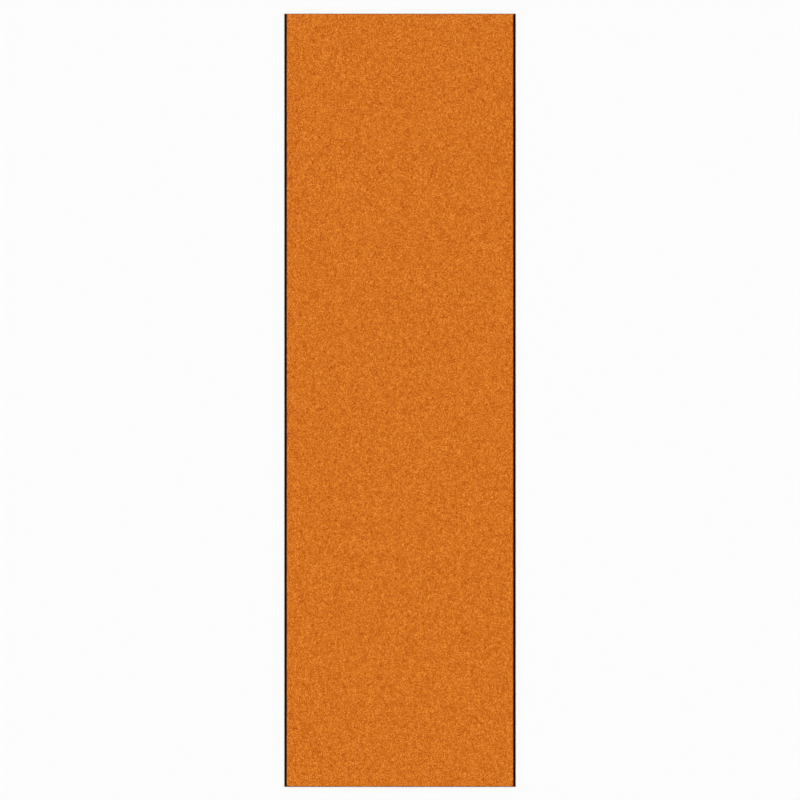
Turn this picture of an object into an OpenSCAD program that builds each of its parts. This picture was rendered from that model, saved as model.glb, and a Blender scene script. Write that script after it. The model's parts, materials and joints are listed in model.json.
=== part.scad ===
// Cut sheet of grit-coated grip tape, lying grit side up on its release liner.
// X runs across the web, Y along it and Z up. The origin is the middle of the underside.
// The -Y end peels up and back, so the tape's layers are cut there at evenly spaced flex lines.

/* [Sheet] */
// Width of the sheet, across the web
sheet_w = 228.6; // [150:0.1:300]
// Length of the sheet, along the web
sheet_l = 764; // [500:1:1300]

/* [Layers, from the bottom up] */
// Thickness of the silicone-faced paper release liner
liner_t = 0.12; // [0.08:0.01:0.2]
// Thickness of the pressure-sensitive adhesive
adhesive_t = 0.06; // [0.04:0.01:0.12]
// Thickness of the black backing film
backing_t = 0.2; // [0.1:0.01:0.4]
// Thickness of the make coat, the resin that anchors the grain
make_coat_t = 0.1; // [0.05:0.01:0.2]
// Depth of the bed of mineral grain
grain_t = 0.32; // [0.15:0.01:0.5]
// Thickness of the coloured size coat over the grain
size_coat_t = 0.1; // [0.05:0.01:0.2]

/* [Bare edges] */
// Width of bare backing film along each long edge
margin_w = 2.5; // [0.5:0.1:6]
// Width of bare backing film at each cut end, where the coats chip from the blade
chip_w = 0.35; // [0.3:0.05:2]
// How far the make coat reaches past the grain, all round
make_lip = 0.25; // [0:0.05:0.3]

/* [Peeled end] */
// Distance between neighbouring flex lines
flex_pitch = 26; // [15:1:50]
// Length of the tail past the last flex line
tail_l = 50; // [20:1:120]

/* [Hidden] */
// One hinge per flex line, so the count stays as it is
flex_lines = 7;

// Heights of the layers' undersides
adhesive_z = liner_t;
backing_z = adhesive_z + adhesive_t;
make_coat_z = backing_z + backing_t;
grain_z = make_coat_z + make_coat_t;
size_coat_z = grain_z + grain_t;

// Zone 0 stays flat on the liner. Zones 1 to flex_lines peel, each from its flex line towards -Y.
end_y = sheet_l / 2;
peel_y = -end_y + tail_l + (flex_lines - 1) * flex_pitch;
function flex_y(line) = peel_y - (line - 1) * flex_pitch;
function zone_high_y(zone) = zone == 0 ? end_y : flex_y(zone);
function zone_low_y(zone) = zone == flex_lines ? -end_y : flex_y(zone + 1);
function zone_name(zone) = zone == 0 ? "flat" : str("peel_", zone);

TAPE_LAYERS = ["adhesive", "backing_film", "make_coat", "grain_bed", "size_coat"];

// One layer's slab in one zone. side_in and end_in hold it back from the sheet's long edges and ends.
module layer_slab(zone, z, thickness, side_in, end_in) {
    low_y = max(zone_low_y(zone), -end_y + end_in);
    high_y = min(zone_high_y(zone), end_y - end_in);
    width = sheet_w - 2 * side_in;
    translate([-width / 2, low_y, z]) cube([width, high_y - low_y, thickness]);
}

module release_liner() {
    color("antiquewhite")
        translate([-sheet_w / 2, -end_y, 0]) cube([sheet_w, sheet_l, liner_t]);
}

module adhesive(zone) {
    color("lemonchiffon") layer_slab(zone, adhesive_z, adhesive_t, 0, 0);
}

module backing_film(zone) {
    color([0.09, 0.07, 0.06]) layer_slab(zone, backing_z, backing_t, 0, 0);
}

module make_coat(zone) {
    color([0.22, 0.12, 0.07])
        layer_slab(zone, make_coat_z, make_coat_t, margin_w - make_lip, chip_w - make_lip);
}

module grain_bed(zone) {
    color("dimgray") layer_slab(zone, grain_z, grain_t, margin_w, chip_w);
}

module size_coat(zone) {
    color([0.83, 0.45, 0.14]) layer_slab(zone, size_coat_z, size_coat_t, margin_w, chip_w);
}

release_liner();
for (zone = [0:flex_lines]) {
    adhesive(zone);
    backing_film(zone);
    make_coat(zone);
    grain_bed(zone);
    size_coat(zone);
}
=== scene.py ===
import json
import math

import bpy
import numpy as np
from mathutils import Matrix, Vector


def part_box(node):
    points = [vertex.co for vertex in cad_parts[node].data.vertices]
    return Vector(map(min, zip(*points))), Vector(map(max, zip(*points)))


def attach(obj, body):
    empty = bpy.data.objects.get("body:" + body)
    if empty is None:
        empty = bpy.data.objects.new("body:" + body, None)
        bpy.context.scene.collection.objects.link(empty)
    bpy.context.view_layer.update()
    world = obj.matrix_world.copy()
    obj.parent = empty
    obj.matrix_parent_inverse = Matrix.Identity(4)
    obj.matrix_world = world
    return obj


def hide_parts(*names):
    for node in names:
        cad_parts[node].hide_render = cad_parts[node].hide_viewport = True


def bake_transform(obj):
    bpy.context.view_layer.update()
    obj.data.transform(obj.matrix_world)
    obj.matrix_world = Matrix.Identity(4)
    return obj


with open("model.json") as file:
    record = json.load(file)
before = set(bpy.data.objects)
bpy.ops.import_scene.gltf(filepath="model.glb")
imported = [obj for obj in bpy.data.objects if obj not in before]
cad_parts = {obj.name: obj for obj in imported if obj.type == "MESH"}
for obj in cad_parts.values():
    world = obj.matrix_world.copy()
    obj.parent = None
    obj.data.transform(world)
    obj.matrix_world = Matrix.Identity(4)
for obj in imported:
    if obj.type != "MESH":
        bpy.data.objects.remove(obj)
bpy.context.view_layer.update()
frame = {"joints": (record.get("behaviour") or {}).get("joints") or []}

# ---------------------------------------------------------------------------------------------
# Release liner
# A plain sheet of siliconised kraft paper under the whole tape. It is slit and cut together with
# the tape, so it ends flush with it, and it stays on the table when the tape is peeled.
# ---------------------------------------------------------------------------------------------

MM = 0.001
liner_low, liner_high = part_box("release_liner")
HALF_WIDTH = liner_high[0]
END_Y = liner_high[1]
LINER_CELL = 4 * MM
PAPER_COCKLE = 0.012 * MM
PAPER_CLOUD = 6 * MM
PAPER_DEEP = (0.74, 0.68, 0.56)
PAPER_PALE = (0.82, 0.77, 0.66)

# A face counts as a wall where the vertical part of its normal is under this
WALL_TILT = 0.2
# Edges sharper than this many degrees stay crisp
CRISP_ANGLE = 40

# Places on map "OFBake", a square of side 1. The detailed side comes first, then narrow strips for the rest.
MAP_RIM = 0.01
MAP_LENGTH = 0.98
FRONT_WIDTH = 0.88
BACK_AT = 0.90
BACK_WIDTH = 0.02
RIGHT_WALL_AT = 0.93
LEFT_WALL_AT = 0.945
FAR_WALL_AT = 0.965
NEAR_WALL_AT = 0.98
WALL_WIDTH = 0.01

# How much of the finer noise is added to a cloudy pattern's tone
FINE_SHARE = 0.33


def even_steps(low, high, pitch):
    """Evenly spaced values from low to high, with the whole number of steps nearest to pitch."""
    return np.linspace(low, high, max(1, round((high - low) / pitch)) + 1)


def flat_grid(xs, ys, z):
    """A (rows, columns, 3) grid of points at height z. Each row has every x of xs, at its own y of ys."""
    x, y = np.meshgrid(xs, ys)
    return np.stack([x, y, np.broadcast_to(z, x.shape)], axis=2)


def mesh_piece(name, points, face_groups):
    """An object at the origin. Each group of faces is an array with one row of corner numbers per face."""
    mesh = bpy.data.meshes.new(name)
    corners = np.concatenate([group.ravel() for group in face_groups]).astype(np.int32)
    sizes = np.concatenate([np.full(len(group), group.shape[1]) for group in face_groups])
    mesh.vertices.add(len(points))
    mesh.vertices.foreach_set("co", np.asarray(points, np.float32).ravel())
    mesh.loops.add(len(corners))
    mesh.loops.foreach_set("vertex_index", corners)
    mesh.polygons.add(len(sizes))
    mesh.polygons.foreach_set("loop_start", (np.cumsum(sizes) - sizes).astype(np.int32))
    mesh.update(calc_edges=True)
    piece = bpy.data.objects.new(name, mesh)
    bpy.context.scene.collection.objects.link(piece)
    return piece


def slab_shell(face, back_z, split=None):
    """The points and faces of a closed slab: its detailed side is the grid `face`, and its back is flat.

    Walls drop straight from the grid's rim to back_z. The back has one strip for each row of cells, and its
    two end strips take in every point of the end walls. Where `split` is given, an array of 0 or 1 per cell,
    each cell is cut into two triangles along that diagonal. A face above its back looks up, and one below
    it looks down."""
    rows, columns = face.shape[:2]
    top = np.arange(rows * columns).reshape(rows, columns)
    back = np.full((rows, columns), -1)
    back[[0, -1]] = rows * columns + np.arange(2 * columns).reshape(2, columns)
    middle = rows * columns + 2 * columns + np.arange(2 * (rows - 2)).reshape(rows - 2, 2)
    back[1:-1, [0, -1]] = middle
    dropped = face.copy()
    dropped[:, :, 2] = back_z
    points = np.concatenate([face.reshape(-1, 3), dropped[[0, -1]].reshape(-1, 3),
                             dropped[1:-1][:, [0, -1]].reshape(-1, 3)])

    a, b, c, d = top[:-1, :-1], top[:-1, 1:], top[1:, 1:], top[1:, :-1]
    if split is None:
        skin = [np.stack([a, b, c, d], axis=2).reshape(-1, 4)]
    else:
        one = np.stack([np.stack([a, b, c], 2), np.stack([a, c, d], 2)], axis=2)
        other = np.stack([np.stack([a, b, d], 2), np.stack([b, c, d], 2)], axis=2)
        skin = [np.where(split[:, :, None, None] == 1, one, other).reshape(-1, 3)]
    left = np.stack([top[:-1, 0], top[1:, 0], back[1:, 0], back[:-1, 0]], axis=1)
    right = np.stack([top[1:, -1], top[:-1, -1], back[:-1, -1], back[1:, -1]], axis=1)
    near = np.stack([top[0, 1:], top[0, :-1], back[0, :-1], back[0, 1:]], axis=1)
    far = np.stack([top[-1, :-1], top[-1, 1:], back[-1, 1:], back[-1, :-1]], axis=1)
    under = np.stack([back[1:-2, 0], back[2:-1, 0], back[2:-1, -1], back[1:-2, -1]], axis=1)
    near_under = np.concatenate([[back[1, 0], back[1, -1]], back[0, ::-1]])[None]
    far_under = np.concatenate([[back[-2, -1], back[-2, 0]], back[-1]])[None]
    groups = skin + [left, right, near, far, under, near_under, far_under]
    if back_z > face[:, :, 2].mean():
        groups = [group[:, ::-1] for group in groups]
    return points, groups


def lay_maps(piece, face_up):
    """Gives a flat piece two maps.

    Map "sheet" is x and y in metres, and the finishes are drawn on it, so that they follow the sheet when it
    bends. Map "OFBake" lays the detailed side over most of a square, its back over a narrow strip beside it,
    and each wall over a strip of its own."""
    mesh = piece.data
    corner_point = np.empty(len(mesh.loops), np.int32)
    mesh.loops.foreach_get("vertex_index", corner_point)
    points = np.empty(len(mesh.vertices) * 3, np.float32)
    mesh.vertices.foreach_get("co", points)
    points = points.reshape(-1, 3)
    normals = np.empty(len(mesh.polygons) * 3, np.float32)
    mesh.polygons.foreach_get("normal", normals)
    sizes = np.empty(len(mesh.polygons), np.int32)
    mesh.polygons.foreach_get("loop_total", sizes)
    normal = np.repeat(normals.reshape(-1, 3), sizes, axis=0)
    at = points[corner_point]
    sheet = mesh.uv_layers.new(name="sheet")
    sheet.data.foreach_set("uv", at[:, :2].astype(np.float32).ravel())

    low, high = points.min(axis=0), points.max(axis=0)
    share = (at - low) / (high - low)
    steep = np.abs(normal[:, 2]) < WALL_TILT
    sideways = steep & (np.abs(normal[:, 0]) > np.abs(normal[:, 1]))
    endways = steep & ~sideways
    behind = ~steep & ((normal[:, 2] < 0) == face_up)
    side_at = np.where(normal[:, 0] > 0, RIGHT_WALL_AT, LEFT_WALL_AT)
    end_at = np.where(normal[:, 1] > 0, FAR_WALL_AT, NEAR_WALL_AT)
    u = MAP_RIM + FRONT_WIDTH * share[:, 0]
    v = MAP_RIM + MAP_LENGTH * share[:, 1]
    u = np.where(behind, BACK_AT + BACK_WIDTH * share[:, 0], u)
    u = np.where(sideways, side_at + WALL_WIDTH * share[:, 2], u)
    u = np.where(endways, end_at + WALL_WIDTH * share[:, 2], u)
    v = np.where(endways, MAP_RIM + MAP_LENGTH * share[:, 0], v)
    bake = mesh.uv_layers.new(name="OFBake")
    bake.data.foreach_set("uv", np.stack([u, v], axis=1).astype(np.float32).ravel())
    mesh.uv_layers.active = sheet
    sheet.active_render = True


def smooth_slab(name, face, back_z, material, loose=None):
    """A closed slab with soft shading on its broad sides and crisp edges, in one material.

    loose holds the points and triangles of small solids that belong to the same piece."""
    points, groups = slab_shell(face, back_z)
    if loose is not None:
        groups.append(loose[1] + len(points))
        points = np.concatenate([points, loose[0]])
    piece = mesh_piece(name, points, groups)
    lay_maps(piece, face_up=face[:, :, 2].mean() > back_z)
    piece.data.shade_smooth()
    piece.data.set_sharp_from_angle(angle=math.radians(CRISP_ANGLE))
    piece.data.materials.append(material)
    return piece


def add_node(tree, kind, settings=None, values=None, **links):
    """A node of this kind, with its settings, its sockets' values by name or number, and links into it.

    A link's key is the socket's name with spaces as underscores, or in_ and its number."""
    made = tree.nodes.new(kind)
    for key, value in (settings or {}).items():
        setattr(made, key, value)
    for key, value in (values or {}).items():
        made.inputs[key].default_value = value
    for key, source in links.items():
        number = key[3:] if key.startswith("in_") else ""
        socket = made.inputs[int(number)] if number.isdigit() else made.inputs[key.replace("_", " ")]
        tree.links.new(source, socket)
    return made


def pattern_group(name, size):
    """An empty node group for a pattern, which takes a Vector and a Size and gives a Tone and a Height.

    Returns its tree, the vector divided by the size, and the node that the results go to."""
    tree = bpy.data.node_groups.new(name, "ShaderNodeTree")
    tree.interface.new_socket("Vector", in_out="INPUT", socket_type="NodeSocketVector")
    width = tree.interface.new_socket("Size", in_out="INPUT", socket_type="NodeSocketFloat")
    width.default_value = size
    for label in ("Tone", "Height"):
        tree.interface.new_socket(label, in_out="OUTPUT", socket_type="NodeSocketFloat")
    given = tree.nodes.new("NodeGroupInput")
    result = tree.nodes.new("NodeGroupOutput")
    scale = add_node(tree, "ShaderNodeMath", {"operation": "DIVIDE"}, {0: 1.0}, in_1=given.outputs["Size"])
    place = add_node(tree, "ShaderNodeVectorMath", {"operation": "SCALE"},
                     Vector=given.outputs["Vector"], Scale=scale.outputs[0])
    return tree, place.outputs[0], result


def mottle_group():
    """Soft cloudy variation with a finer one laid over it, for paper, film, resin and adhesive.

    Tone is noise at the given size, with a third as much noise at a ninth of the size. Height is the
    finer noise."""
    tree, place, result = pattern_group("cloudy_mottle", 0.01)
    broad = add_node(tree, "ShaderNodeTexNoise", {"noise_dimensions": "2D"},
                     {"Scale": 1.0, "Detail": 3.0}, Vector=place)
    fine = add_node(tree, "ShaderNodeTexNoise", {"noise_dimensions": "2D"},
                    {"Scale": 9.0, "Detail": 4.0}, Vector=place)
    third = add_node(tree, "ShaderNodeMath", {"operation": "MULTIPLY_ADD"},
                     {1: FINE_SHARE, 2: -FINE_SHARE / 2}, in_0=fine.outputs["Fac"])
    both = add_node(tree, "ShaderNodeMath", {"operation": "ADD", "use_clamp": True},
                    in_0=broad.outputs["Fac"], in_1=third.outputs[0])
    tree.links.new(both.outputs[0], result.inputs["Tone"])
    tree.links.new(fine.outputs["Fac"], result.inputs["Height"])
    return tree


def new_material(name):
    """A material with its Principled shader, and the node that reads the sheet map."""
    material = bpy.data.materials.new(name)
    material.use_nodes = True
    tree = material.node_tree
    place = add_node(tree, "ShaderNodeUVMap", {"uv_map": "sheet"})
    return material, tree, tree.nodes["Principled BSDF"], place.outputs["UV"]


def place_pattern(tree, group, vector, size):
    """A pattern's node group in a material, fed with the sheet map and its own size."""
    return add_node(tree, "ShaderNodeGroup", {"node_tree": group}, {"Size": size}, Vector=vector)


def tint(tree, mask, *colours, low=0.25, high=0.75):
    """The colour that runs evenly through the given colours as the mask goes from low to high."""
    ramp = tree.nodes.new("ShaderNodeValToRGB")
    tree.links.new(mask, ramp.inputs["Fac"])
    stops = ramp.color_ramp.elements
    for _ in colours[2:]:
        stops.new(1.0)
    for stop, place, colour in zip(stops, np.linspace(low, high, len(colours)), colours):
        stop.position = place
        stop.color = (*colour, 1.0)
    return ramp.outputs["Color"]


def spread(tree, mask, low, high):
    """The mask stretched from 0..1 to low..high."""
    limits = {"To Min": low, "To Max": high}
    return add_node(tree, "ShaderNodeMapRange", None, limits, Value=mask).outputs["Result"]


def add_bump(tree, shader, height, strength, depth):
    """Small relief on the shader's normal: height 0..1 stands for a depth in metres."""
    bump = add_node(tree, "ShaderNodeBump", None, {"Strength": strength, "Distance": depth}, Height=height)
    tree.links.new(bump.outputs["Normal"], shader.inputs["Normal"])


def patterned_material(name, pattern, size, colours, roughness, bump, specular, low=0.25, high=0.75):
    """A finish that follows one pattern. Its colours and its pair of roughnesses follow the pattern's tone,
    and its relief, of a strength and a depth, follows the pattern's height."""
    material, tree, shader, vector = new_material(name)
    placed = place_pattern(tree, pattern, vector, size)
    colour = tint(tree, placed.outputs["Tone"], *colours, low=low, high=high)
    tree.links.new(colour, shader.inputs["Base Color"])
    tree.links.new(spread(tree, placed.outputs["Tone"], *roughness), shader.inputs["Roughness"])
    add_bump(tree, shader, placed.outputs["Height"], *bump)
    shader.inputs["Specular IOR Level"].default_value = specular
    return material


cloudy_mottle = mottle_group()


def liner_material():
    """Warm white paper with faint fibre clouds and the low sheen of a silicone face."""
    return patterned_material("siliconised_paper", cloudy_mottle, PAPER_CLOUD, (PAPER_DEEP, PAPER_PALE),
                              roughness=(0.34, 0.5), bump=(0.25, 0.05 * MM), specular=0.4)


liner_xs = even_steps(-HALF_WIDTH, HALF_WIDTH, LINER_CELL)
liner_ys = even_steps(-END_Y, END_Y, LINER_CELL)
liner_face = flat_grid(liner_xs, liner_ys, liner_high[2])
inside = liner_face[1:-1, 1:-1]
inside[:, :, 2] -= PAPER_COCKLE * np.random.default_rng(3).random(inside.shape[:2])
liner = smooth_slab("liner_paper", liner_face, liner_low[2], liner_material())
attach(liner, "liner")
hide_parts("release_liner")

# ---------------------------------------------------------------------------------------------
# Adhesive
# A thin coat of clear, permanently tacky acrylic on the underside of the black film. It shows
# when the end is peeled: dark like the film behind it, glossy, and faintly rippled by its coating.
# ---------------------------------------------------------------------------------------------

FLEX_LINES = 7
FLEX_Y = {line: joint["pos_m"][1] for line in range(1, FLEX_LINES + 1)
          for joint in frame["joints"] if joint["name"] == f"bend_{line}"}
FLEX_PITCH = FLEX_Y[1] - FLEX_Y[2]
BEND_ROW = 1.5 * MM
FLAT_ROW = 8 * MM
COLUMN = 9 * MM

# How far a seam's extra row reaches past it, how much it narrows, and how deep it dips into the slab
SEAM_TUCK = 0.34 * MM
SEAM_NARROWING = 0.9998
SEAM_DIP = 0.1

RIPPLE = 0.012 * MM
RIPPLE_LENGTH = 2.1 * MM
RIPPLE_SWAY = 0.8
SWAY_LENGTH = 17 * MM
TACK_CLOUD = 9 * MM
TACK_DEEP = (0.016, 0.014, 0.013)
TACK_PALE = (0.036, 0.031, 0.028)


def zone_span(zone):
    """The low and high Y of the stretch of tape that belongs to a flex line. Zone 0 is the flat rest."""
    if zone == 0:
        return FLEX_Y[1], END_Y
    low = -END_Y if zone == FLEX_LINES else FLEX_Y[zone] - FLEX_PITCH / 2
    high = FLEX_Y[1] if zone == 1 else FLEX_Y[zone] + FLEX_PITCH / 2
    return low, high


def zone_label(zone):
    """The ending of the names of a zone's nodes and pieces."""
    return f"peel_{zone}" if zone else "flat"


def has_seam(zone):
    """Whether another bending zone follows this one towards the end that peels."""
    return 0 < zone < FLEX_LINES


def tuck_seam(face, back_z, dip=SEAM_DIP):
    """The grid with one more row past its seam with the next zone, which fills the hairline gap that opens
    there when the tape bends. The row lies inside the next piece: it dips towards the back by a share of the
    slab's thickness, and draws in a little at the sides."""
    tucked = face[:1] * (SEAM_NARROWING, 1, 1)
    tucked[:, :, 1] -= SEAM_TUCK
    tucked[:, :, 2] += dip * (back_z - tucked[:, :, 2])
    return np.concatenate([tucked, face])


def fasten(piece, zone):
    """Puts a piece of the tape in place: the flat zone rides on the tape, and the others have their place
    baked into their points.
    """
    if zone == 0:
        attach(piece, "tape")
        return
    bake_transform(piece)


def lay_layer(layer, piece_name, material, columns, end_in=0.0, flat_row=FLAT_ROW, face_down=False,
              face_z=None, relief=None, wander=None, loose=None):
    """One smooth layer of the tape, a piece for each zone. Its box comes from the layer's own nodes.

    end_in holds it back from the cut ends, and face_z puts its detailed side at another height.
    relief(x, y) is added to the height of that side, and wander(y) moves its long edges in and out.
    loose(low_y, high_y) gives small solids that lie on it."""
    low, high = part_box(f"{layer}_flat")
    back_z = high[2] if face_down else low[2]
    face_z = face_z or (low[2] if face_down else high[2])
    for zone in range(FLEX_LINES + 1):
        low_y, high_y = zone_span(zone)
        low_y, high_y = max(low_y, -END_Y + end_in), min(high_y, END_Y - end_in)
        face = flat_grid(columns, even_steps(low_y, high_y, BEND_ROW if zone else flat_row), face_z)
        if relief is not None:
            face[:, :, 2] += relief(face[:, :, 0], face[:, :, 1])
        if wander is not None:
            face[:, 0, 0] -= wander(face[:, 0, 1])
            face[:, -1, 0] += wander(face[:, -1, 1] + HALF_WIDTH)
        if has_seam(zone):
            face = tuck_seam(face, back_z)
        solids = loose(low_y, high_y) if loose else None
        piece = smooth_slab(f"{piece_name}_{zone_label(zone)}", face, back_z, material, solids)
        fasten(piece, zone)
        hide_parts(f"{layer}_{zone_label(zone)}")


def adhesive_material():
    """Clear acrylic over black film: nearly black, with a wet gloss that the coating's ripple breaks up."""
    return patterned_material("clear_acrylic_on_film", cloudy_mottle, TACK_CLOUD, (TACK_DEEP, TACK_PALE),
                              roughness=(0.16, 0.34), bump=(0.5, 0.08 * MM), specular=0.5)


def coating_ripple(x, y):
    """Long, low waves across the web, from the blade that spreads the adhesive. The height is a sine along
    the web, and its phase sways with a longer sine across the web."""
    return RIPPLE * np.sin(y / RIPPLE_LENGTH + RIPPLE_SWAY * np.sin(x / SWAY_LENGTH))


lay_layer("adhesive", "acrylic_tack", adhesive_material(), even_steps(-HALF_WIDTH, HALF_WIDTH, COLUMN),
          face_down=True, relief=coating_ripple)

# ---------------------------------------------------------------------------------------------
# Backing film
# The black plastic web that carries everything. It is slit with a bare margin along both long
# edges, because the grit coating stops short of the slitting knives.
# ---------------------------------------------------------------------------------------------

FILM_GRAIN = 2.5 * MM
FILM_DEEP = (0.006, 0.0012, 0.0007)
FILM_PALE = (0.014, 0.0028, 0.0014)


def film_material():
    """Black film with a fine matt grain and faint handling haze."""
    return patterned_material("black_film", cloudy_mottle, FILM_GRAIN, (FILM_DEEP, FILM_PALE),
                              roughness=(0.28, 0.42), bump=(0.3, 0.03 * MM), specular=0.12)


lay_layer("backing_film", "film_web", film_material(), even_steps(-HALF_WIDTH, HALF_WIDTH, COLUMN))

# ---------------------------------------------------------------------------------------------
# Make coat
# Dark cured resin that anchors the grain. It is rolled on first, and creeps a little way past
# the grain in a wavy line.
# ---------------------------------------------------------------------------------------------

coat_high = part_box("make_coat_flat")[1]
CREEP_ROW = 1.8 * MM
CREEP = 0.05 * MM
# Length and shift of each wave in the resin's edge
CREEP_WAVES = ((1.9 * MM, 0), (5.3 * MM, 1), (13.1 * MM, 2))
RESIN_CLOUD = 1.5 * MM
RESIN_DEEP = (0.012, 0.006, 0.004)
RESIN_PALE = (0.045, 0.02, 0.011)


def resin_material():
    """Dark brown phenolic resin, half glossy."""
    return patterned_material("phenolic_resin", cloudy_mottle, RESIN_CLOUD, (RESIN_DEEP, RESIN_PALE),
                              roughness=(0.28, 0.48), bump=(0.4, 0.06 * MM), specular=0.3)


def resin_creep(y):
    """How far the resin's edge runs past its mean line: three sine waves of unrelated length, added up."""
    return CREEP * sum(np.sin(y / length + shift) for length, shift in CREEP_WAVES)


lay_layer("make_coat", "resin_bed", resin_material(), even_steps(-coat_high[0], coat_high[0], COLUMN),
          end_in=END_Y - coat_high[1], flat_row=CREEP_ROW, wander=resin_creep)

# ---------------------------------------------------------------------------------------------
# Mineral grain
# Sharp, dark abrasive grain, dropped into the wet make coat and packed shoulder to shoulder. It
# shows only along the rim of the coat and where the knife has chipped the colour off at the ends.
# ---------------------------------------------------------------------------------------------

grain_low, grain_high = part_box("grain_bed_flat")
# Depth of the orange coat from its mean face to its back, and how far that face stands over the bed's box.
# The bed's own face lies at the coat's back.
GRIT_FLOOR = 0.3 * MM
OVER_BED = 0.1 * MM
# The farthest that a loose grain's corner lies from its middle, and the shares of that which the smallest
# grain, and the nearest corner of a grain, may have
GRAIN_SIZE = 0.26 * MM
GRAIN_SMALLEST = 0.5
CORNER_NEAREST = 0.55
GRAIN_CORNERS = 6
# Spacing of the rim's grains, how far they stray, and how far in from the bed's edge they lie
RIM_PITCH = 0.42 * MM
RIM_DRIFT = 0.07 * MM
RIM_INSET = 0.05 * MM
# How far the rim's grains keep above the bed's underside and below its top
RIM_SEAT = 0.06 * MM
RIM_SINK = 0.12 * MM
# Painted shade in the gaps between grains: the share of its tone that a grain keeps in the gap beside it,
# and where that darkening starts and ends, in cells from the grain's middle
GAP_PAINTED_SHADE = 0.3
GAP_SHADE_START = 0.2
GAP_SHADE_END = 0.75
# The crust's share of the tone, and its height beside the dome's
CRUST_SHARE = 0.35
CRUST_HEIGHT = 0.9
MINERAL_CELL = 0.4 * MM
MINERAL_DEEP = (0.014, 0.009, 0.007)
MINERAL_PALE = (0.09, 0.05, 0.032)
dice = np.random.default_rng(20)


def speckle_group():
    """Grain by grain variation: cells of the given size, each domed, with its own tone and a finer crust.

    Tone is each cell's random number, mixed with noise at two fifths of the size, and darkened in the
    gaps between cells as painted shade. Height is highest in a cell's middle."""
    tree, place, result = pattern_group("grain_speckle_and_gap_shade", 0.0006)
    cells = add_node(tree, "ShaderNodeTexVoronoi", {"voronoi_dimensions": "2D"}, {"Scale": 1.0}, Vector=place)
    crust = add_node(tree, "ShaderNodeTexNoise", {"noise_dimensions": "2D"},
                     {"Scale": 2.5, "Detail": 4.0}, Vector=place)
    own = add_node(tree, "ShaderNodeSeparateColor", Color=cells.outputs["Color"])
    tone = add_node(tree, "ShaderNodeMix", {"data_type": "FLOAT"}, {"Factor": CRUST_SHARE},
                    A=own.outputs["Red"], B=crust.outputs["Fac"])
    # Painted shade: the tone darkens in the gaps between cells
    gap = add_node(tree, "ShaderNodeMapRange", {"interpolation_type": "SMOOTHSTEP"},
                   {"From Min": GAP_SHADE_START, "From Max": GAP_SHADE_END, "To Min": 1.0, "To Max": GAP_PAINTED_SHADE},
                   Value=cells.outputs["Distance"])
    shaded_tone = add_node(tree, "ShaderNodeMath", {"operation": "MULTIPLY"},
                    in_0=tone.outputs["Result"], in_1=gap.outputs["Result"])
    dome = add_node(tree, "ShaderNodeMath", {"operation": "SUBTRACT"}, {0: 1.0},
                    in_1=cells.outputs["Distance"])
    height = add_node(tree, "ShaderNodeMath", {"operation": "MULTIPLY_ADD"}, {1: CRUST_HEIGHT},
                      in_0=crust.outputs["Fac"], in_2=dome.outputs[0])
    tree.links.new(shaded_tone.outputs[0], result.inputs["Tone"])
    tree.links.new(height.outputs[0], result.inputs["Height"])
    return tree


grain_speckle_and_gap_shade = speckle_group()


def mineral_material():
    """Near-black silicon carbide, each grain a slightly different grey, darker in the gaps between grains as
    painted shade, with glinting faces.
    """
    return patterned_material("bare_mineral", grain_speckle_and_gap_shade, MINERAL_CELL, (MINERAL_DEEP, MINERAL_PALE),
                              roughness=(0.3, 0.6), bump=(0.5, 0.08 * MM), specular=0.3, low=0.1, high=0.95)


def scatter(shape, most):
    """Random numbers with a normal spread of 1, held between -most and most."""
    return dice.normal(size=shape).clip(-most, most)


def grain_solids(centres, sizes):
    """The points and faces of sharp grains. Each is an octahedron, turned at random, and its six corners lie
    at random distances from its middle."""
    count = len(centres)
    spokes = np.concatenate([np.eye(3), -np.eye(3)])
    length = dice.uniform(CORNER_NEAREST, 1.0, (count, GRAIN_CORNERS, 1)) * sizes[:, None, None]
    turn, _ = np.linalg.qr(dice.normal(size=(count, 3, 3)))
    turn[:, :, 0] *= np.linalg.det(turn)[:, None]
    points = centres[:, None] + (spokes[None] * length) @ turn.transpose(0, 2, 1)
    faces = np.array([[0, 1, 2], [1, 3, 2], [3, 4, 2], [4, 0, 2], [1, 0, 5], [3, 1, 5], [4, 3, 5], [0, 4, 5]])
    first_corners = GRAIN_CORNERS * np.arange(count)
    return points.reshape(-1, 3), (faces[None] + first_corners[:, None, None]).reshape(-1, 3)


def rim_grains(low_y, high_y):
    """Grains that stand bare along the coat's long edges, and along a cut end where the stretch has one."""
    along = np.arange(low_y + RIM_PITCH / 2, high_y, RIM_PITCH)
    across = np.arange(-grain_high[0], grain_high[0], RIM_PITCH)
    edge_x = grain_high[0] - RIM_INSET
    end_y = grain_high[1] - GRAIN_SIZE
    rows = [np.stack([np.full(len(along), side * edge_x), along], 1) for side in (-1, 1)]
    rows += [np.stack([across, np.full(len(across), np.sign(y) * end_y)], 1)
             for y in (low_y, high_y) if abs(y) > grain_high[1] - MM]
    places = np.concatenate(rows)
    places += RIM_DRIFT * scatter(places.shape, 1.5)
    heights = dice.uniform(grain_low[2] + RIM_SEAT, grain_high[2] - RIM_SINK, len(places))
    centres = np.concatenate([places, heights[:, None]], axis=1)
    return grain_solids(centres, GRAIN_SIZE * dice.uniform(GRAIN_SMALLEST, 1.0, len(centres)))


lay_layer("grain_bed", "mineral_bed", mineral_material(), even_steps(-grain_high[0], grain_high[0], COLUMN),
          end_in=END_Y - grain_high[1], face_z=grain_high[2] - GRIT_FLOOR + OVER_BED, loose=rim_grains)

# ---------------------------------------------------------------------------------------------
# Size coat
# Orange resin rolled over the grain. It follows every grain, so the surface is a field of small
# sharp facets with proud grains on it, ragged along the bare margins and chipped at the cut ends.
# ---------------------------------------------------------------------------------------------

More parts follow.
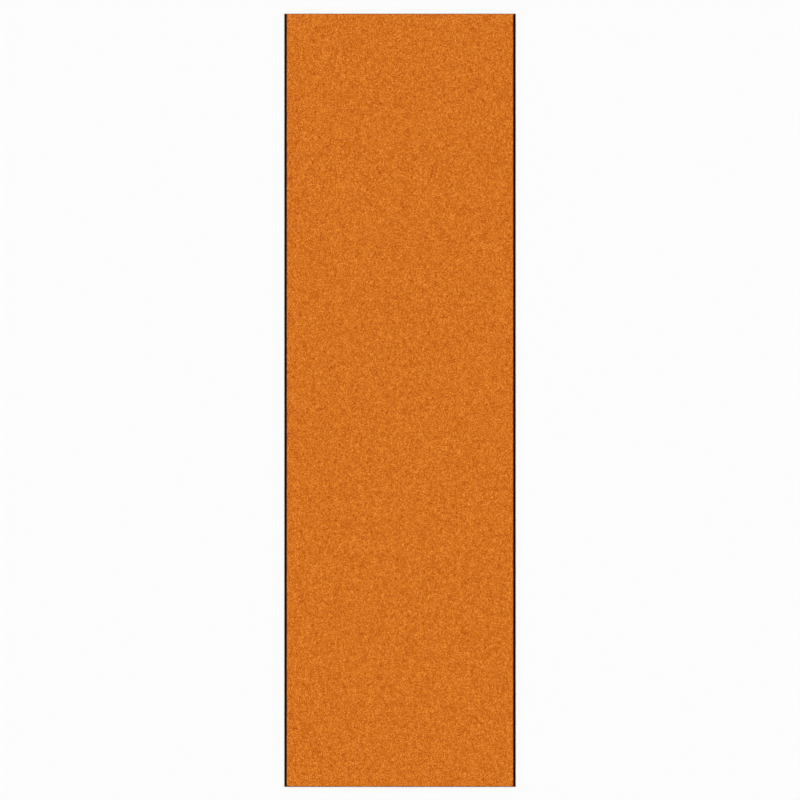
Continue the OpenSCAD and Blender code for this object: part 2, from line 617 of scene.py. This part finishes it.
size_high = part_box("size_coat_flat")[1]
FLAT_PARTS = 4
GRIT_CELL = 0.72 * MM
# Under a quarter of a cell, so that no facet can fold over
GRIT_JITTER = 0.24
GRIT_RELIEF = 0.11 * MM
CLUMP_RELIEF = 0.02 * MM
CLUMP_CELLS = 4
# The deepest pit, as a share of the coat's own depth
DEEPEST_PIT = 0.8
# Deeper than the other layers' dip, so that the sharp facets stay inside the next piece
GRIT_SEAM_DIP = 0.4
RAGGED_EDGE = 0.07 * MM
CHIP_DEPTH = 0.12 * MM

PROUD_PER_M2 = 130_000
PROUD_SIZE = 0.44 * MM
PROUD_SMALLEST = 0.6
# Where the middles of the proud grains lie, in reliefs above the coat's mean face
PROUD_LOWEST = -1.2
PROUD_HIGHEST = 0.4

# The height over which painted shade in the pits turns to painted light on the crests, and the least painted
# light that a proud grain gets
PAINTED_LIGHT_SPAN = 4 * GRIT_RELIEF
PROUD_PAINTED_LIGHT = 0.45
# The share of the colour that is painted shade and light following the height, and not the grain's own tone
PAINTED_LIGHT_SHARE = 0.42
ORANGE_CELL = 0.6 * MM
ORANGE_DEEP_AND_PIT_SHADE = (0.328, 0.022, 0.0)
ORANGE_FLANK = (0.626, 0.142, 0.0)
ORANGE_PALE_AND_CREST_LIGHT = (0.918, 0.342, 0.045)


def orange_material():
    """Pigmented resin over grit. Each grain is a slightly different orange, with painted shade in the pits and
    between grains and painted light on the crests, and half matt with small bright facets."""
    material, tree, shader, vector = new_material("orange_size_coat")
    speckle = place_pattern(tree, grain_speckle_and_gap_shade, vector, ORANGE_CELL)
    painted_height_light = add_node(tree, "ShaderNodeAttribute", {"attribute_name": "painted_height_light"})
    # Painted shade and light: the height attribute darkens the pits and walls and pales the crests and proud
    # grains
    tone = add_node(tree, "ShaderNodeMix", {"data_type": "FLOAT"}, {"Factor": PAINTED_LIGHT_SHARE},
                    A=speckle.outputs["Tone"], B=painted_height_light.outputs["Fac"])
    colour = tint(tree, tone.outputs["Result"], ORANGE_DEEP_AND_PIT_SHADE, ORANGE_FLANK, ORANGE_PALE_AND_CREST_LIGHT, low=0.1, high=0.7)
    tree.links.new(colour, shader.inputs["Base Color"])
    tree.links.new(spread(tree, tone.outputs["Result"], 0.75, 0.42), shader.inputs["Roughness"])
    add_bump(tree, shader, speckle.outputs["Height"], 0.9, 0.18 * MM)
    shader.inputs["Specular IOR Level"].default_value = 0.13
    return material


def grit_rows(spans):
    """Y of every row of the grit, for spans in order from -Y to +Y, and the rows where spans start and end."""
    steps = [even_steps(low, high, GRIT_CELL) for low, high in spans]
    rows = np.concatenate([steps[0]] + [part[1:] for part in steps[1:]])
    return rows, np.cumsum([0] + [len(part) - 1 for part in steps])


def clumped(shape, cell):
    """Random heights that hang together over `cell` grid steps: a coarse random grid, and between its points
    the mean of the nearest four, weighted by how near they are."""
    coarse = dice.normal(size=(shape[0] // cell + 2, shape[1] // cell + 2))
    r, c = np.arange(shape[0]) / cell, np.arange(shape[1]) / cell
    i, j = r.astype(int), c.astype(int)
    fr, fc = (r - i)[:, None], (c - j)[None]
    near = coarse[i][:, j] * (1 - fc) + coarse[i][:, j + 1] * fc
    far = coarse[i + 1][:, j] * (1 - fc) + coarse[i + 1][:, j + 1] * fc
    return near * (1 - fr) + far * fr


def grit_field(rows):
    """The whole coat's upper face: a grid at an even pitch, each point raised and shifted at random. Its rim
    is lower, ragged along the sides and chipped back at the ends."""
    field = flat_grid(even_steps(-size_high[0], size_high[0], GRIT_CELL), rows, size_high[2])
    high, wide = field.shape[:2]
    bumps = GRIT_RELIEF * scatter((high, wide), 1.8)
    field[:, :, 2] += bumps + CLUMP_RELIEF * clumped((high, wide), CLUMP_CELLS)
    field[:, 1:-1, 0] += GRIT_CELL * GRIT_JITTER * dice.uniform(-1, 1, (high, wide - 2))
    field[1:-1, :, 1] += GRIT_CELL * GRIT_JITTER * dice.uniform(-1, 1, (high - 2, wide))
    field[:, [0, -1], 0] += RAGGED_EDGE * scatter((high, 2), 1.5)
    field[0, :, 1] += CHIP_DEPTH * np.abs(scatter(wide, 2))
    field[-1, :, 1] -= CHIP_DEPTH * np.abs(scatter(wide, 2))
    field[:, [0, -1], 2] -= GRIT_RELIEF
    field[[0, -1], :, 2] -= GRIT_RELIEF
    field[:, :, 2] = np.maximum(field[:, :, 2], size_high[2] - DEEPEST_PIT * GRIT_FLOOR)
    return field


def proud_grains(low_y, high_y):
    """Sharp grains that stand out of the coat anywhere between two values of Y."""
    count = round(PROUD_PER_M2 * (high_y - low_y) * 2 * size_high[0])
    reach = size_high[0] - PROUD_SIZE / 2
    x = dice.uniform(-reach, reach, count)
    y = dice.uniform(low_y + PROUD_SIZE, high_y - PROUD_SIZE, count)
    z = size_high[2] + GRIT_RELIEF * dice.uniform(PROUD_LOWEST, PROUD_HIGHEST, count)
    return grain_solids(np.stack([x, y, z], axis=1), PROUD_SIZE * dice.uniform(PROUD_SMALLEST, 1.0, count))


# The zones from the peeled end to the flat one, which is cut in equal parts to keep each mesh small
grit_parts = [(zone, zone_label(zone), *zone_span(zone)) for zone in range(FLEX_LINES, 0, -1)]
grit_parts[0] = (FLEX_LINES, zone_label(FLEX_LINES), -size_high[1], zone_span(FLEX_LINES)[1])
flat_cuts = np.linspace(FLEX_Y[1], size_high[1], FLAT_PARTS + 1)
grit_parts += [(0, f"flat_{part + 1}", flat_cuts[part], flat_cuts[part + 1]) for part in range(FLAT_PARTS)]

orange = orange_material()
grit_ys, part_ends = grit_rows([(low_y, high_y) for _, _, low_y, high_y in grit_parts])
grit = grit_field(grit_ys)
grit_back = size_high[2] - GRIT_FLOOR

for number, (zone, label, low_y, high_y) in enumerate(grit_parts):
    face = grit[part_ends[number]:part_ends[number + 1] + 1]
    columns = face.shape[1]
    if has_seam(zone):
        face = tuck_seam(face, grit_back, GRIT_SEAM_DIP)
    split = dice.integers(0, 2, (face.shape[0] - 1, columns - 1))
    points, groups = slab_shell(face, grit_back, split)
    grains, grain_faces = proud_grains(low_y, high_y)
    piece = mesh_piece(f"orange_grit_{label}", np.concatenate([points, grains]),
                       groups + [grain_faces + len(points)])
    lay_maps(piece, face_up=True)
    # Painted shade and light by height: low points and walls get a darker orange, high points and proud grains
    # a paler one
    painted_height_light = 0.5 + (points[:, 2] - size_high[2]) / PAINTED_LIGHT_SPAN
    if has_seam(zone):
        painted_height_light[:columns] = painted_height_light[columns:2 * columns]
    grain_painted_height_light = dice.uniform(PROUD_PAINTED_LIGHT, 1.0, len(grains) // GRAIN_CORNERS)
    painted_height_light = np.concatenate([painted_height_light, np.repeat(grain_painted_height_light, GRAIN_CORNERS)])
    piece.data.attributes.new("painted_height_light", "FLOAT", "POINT").data.foreach_set("value", painted_height_light.clip(0, 1))
    piece.data.materials.append(orange)
    fasten(piece, zone)
    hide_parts(f"size_coat_{zone_label(zone)}")

# ---------------------------------------------------------------------------------------------
# Studio
# A plain pale floor under an even, mostly overhead light, with a camera looking straight down.
# ---------------------------------------------------------------------------------------------

FLOOR_HALF = 14.0
FLOOR_GAP = 0.05 * MM
FLOOR_GREY = 0.9
# The room's grey at a few heights, from 0 at the horizon to 1 straight overhead
ROOM_GREYS = ((0.0, 0.98), (0.35, 0.9), (0.95, 0.06))
# The share of the picture's height that the sheet fills, and how far above its middle the camera stands
SHEET_SHARE = 0.9666
CAMERA_Y = 0.25 * MM
LENS = 100.0
SENSOR = 36.0


def studio_floor():
    """A wide pale sheet just under the liner."""
    corners = np.array([[-1, -1], [1, -1], [1, 1], [-1, 1]]) * FLOOR_HALF
    points = np.column_stack([corners, np.full(len(corners), -FLOOR_GAP)])
    floor = mesh_piece("studio_floor", points, [np.array([[0, 1, 2, 3]])])
    material = bpy.data.materials.new("pale_floor")
    material.use_nodes = True
    shader = material.node_tree.nodes["Principled BSDF"]
    shader.inputs["Base Color"].default_value = (FLOOR_GREY, FLOOR_GREY, FLOOR_GREY, 1)
    shader.inputs["Roughness"].default_value = 1.0
    shader.inputs["Specular IOR Level"].default_value = 0.0
    floor.data.materials.append(material)


def studio_world():
    """Pale walls and a dark ceiling: bright at the horizon, dark overhead."""
    world = bpy.data.worlds.new("studio")
    world.use_nodes = True
    tree = world.node_tree
    where = add_node(tree, "ShaderNodeTexCoord")
    parts = add_node(tree, "ShaderNodeSeparateXYZ", Vector=where.outputs["Generated"])
    ramp = tree.nodes.new("ShaderNodeValToRGB")
    tree.links.new(parts.outputs["Z"], ramp.inputs["Fac"])
    stops = ramp.color_ramp.elements
    for height, _ in ROOM_GREYS[1:-1]:
        stops.new(height)
    for stop, (height, grey) in zip(stops, ROOM_GREYS):
        stop.position = height
        stop.color = (grey, grey, grey, 1)
    tree.links.new(ramp.outputs["Color"], tree.nodes["Background"].inputs["Color"])
    bpy.context.scene.world = world


def studio_sun(name, azimuth, elevation, strength, softness):
    """A broad distant light: azimuth from +Y towards +X, elevation above the floor, both in degrees."""
    light = bpy.data.lights.new(name, "SUN")
    light.energy = strength
    light.angle = math.radians(softness)
    sun = bpy.data.objects.new(name, light)
    sun.rotation_euler = (math.radians(elevation - 90), 0, math.radians(-azimuth))
    bpy.context.scene.collection.objects.link(sun)


studio_floor()
studio_world()
studio_sun("key", azimuth=-35, elevation=48, strength=1.85, softness=12)
studio_sun("fill", azimuth=125, elevation=55, strength=0.8, softness=25)

camera_data = bpy.data.cameras.new("camera")
camera_data.lens = LENS
camera_data.sensor_width = SENSOR
camera = bpy.data.objects.new("camera", camera_data)
picture_height = 2 * END_Y / SHEET_SHARE
camera.location = (0, CAMERA_Y, size_high[2] + picture_height * LENS / SENSOR)
bpy.context.scene.collection.objects.link(camera)
bpy.context.scene.camera = camera
bpy.context.scene.view_settings.view_transform = "Standard"
